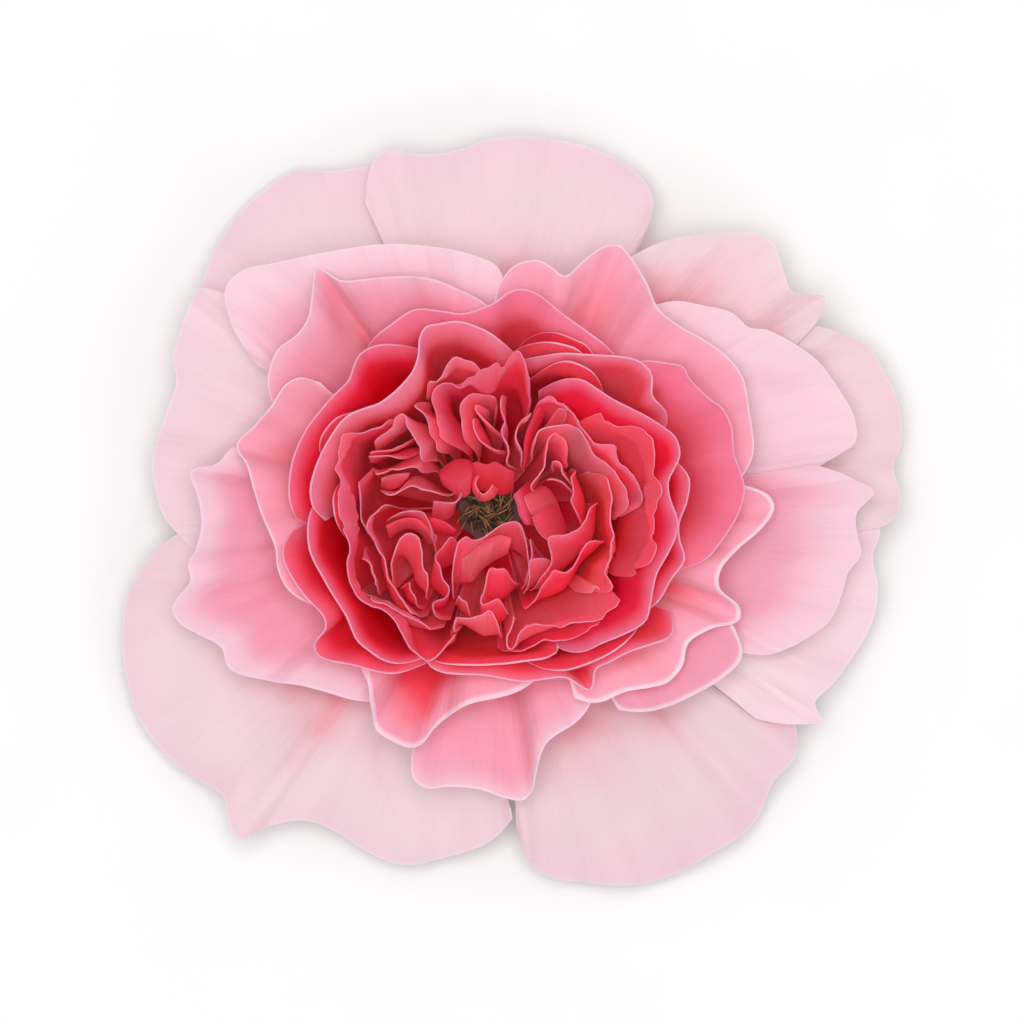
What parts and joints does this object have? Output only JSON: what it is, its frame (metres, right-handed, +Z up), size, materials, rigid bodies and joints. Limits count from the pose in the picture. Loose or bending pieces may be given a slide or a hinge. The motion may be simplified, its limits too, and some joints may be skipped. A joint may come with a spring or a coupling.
{
  "type": "garden rose flower head",
  "caption": "Full-blown quartered garden rose head, pale pink guard petals round a crimson heart, cut under the hip and resting face up.",
  "frame": {"origin": "on the surface the flower rests on, under the middle of its bounding box", "axes": "+Z up out of the face of the flower, +X across its widest spread, +Y towards the top of the picture; the flower's own axis stands 3.3 mm towards -X"},
  "size_m": [0.115, 0.1104, 0.0424],
  "materials": {
    "guard_petal": "soft satin, pale pink",
    "middle_petal": "soft satin, mid pink with a paler rim",
    "cup_petal": "soft satin, deep pink with a pale rim",
    "heart_petal": "velvety crimson with a pink rim",
    "green_calyx": "matt leafy green",
    "stamens": "dull tan and olive"
  },
  "bodies": {
    "root": {"guard_bottom_right": "guard_petal", "guard_top_left": "guard_petal", "guard_bottom_left": "guard_petal", "guard_lower_right": "guard_petal", "guard_top": "guard_petal", "guard_right": "guard_petal", "guard_left": "guard_petal", "guard_upper_right": "guard_petal", "mid_upper_right": "middle_petal", "mid_right": "middle_petal", "mid_lower_left": "middle_petal", "mid_upper_left": "middle_petal", "mid_bottom_outer": "middle_petal", "mid_lower_right": "middle_petal", "mid_top_right": "middle_petal", "mid_top_left": "middle_petal", "mid_lower_right_inner": "middle_petal", "mid_left": "middle_petal", "mid_bottom": "middle_petal", "cup_top": "cup_petal", "cup_right_outer": "cup_petal", "cup_lower_left": "cup_petal", "cup_bottom_outer": "cup_petal", "cup_left_outer": "cup_petal", "cup_right_back": "cup_petal", "cup_upper_right": "cup_petal", "cup_lower_left_inner": "cup_petal", "cup_left_peak": "cup_petal", "cup_right_main": "cup_petal", "cup_bottom_inner": "cup_petal", "wall_left": "heart_petal", "wall_top": "heart_petal", "wall_right": "heart_petal", "wall_bottom": "heart_petal", "wall_inner_right": "heart_petal", "arch_outer": "heart_petal", "arch_inner": "heart_petal", "arch_core": "heart_petal", "arch_left": "heart_petal", "arch_top": "heart_petal", "ridge_right": "heart_petal", "heart_right": "heart_petal", "heart_lower_right": "heart_petal", "wedge_lower_right": "heart_petal", "cup_fold_bottom": "heart_petal", "round_bottom": "heart_petal", "tongue_centre": "heart_petal", "loop_lower_left": "heart_petal", "fold_lower_left": "heart_petal", "blade_lower_left": "heart_petal", "blade_left_low": "heart_petal", "blade_left_mid": "heart_petal", "blade_left_high": "heart_petal", "blade_top_left": "heart_petal", "chevron_outer": "heart_petal", "flap_top": "heart_petal", "leaf_top": "heart_petal", "stamens_and_styles": "stamens", "calyx_hip_and_stem": "green_calyx"}
  },
  "joints": []
}
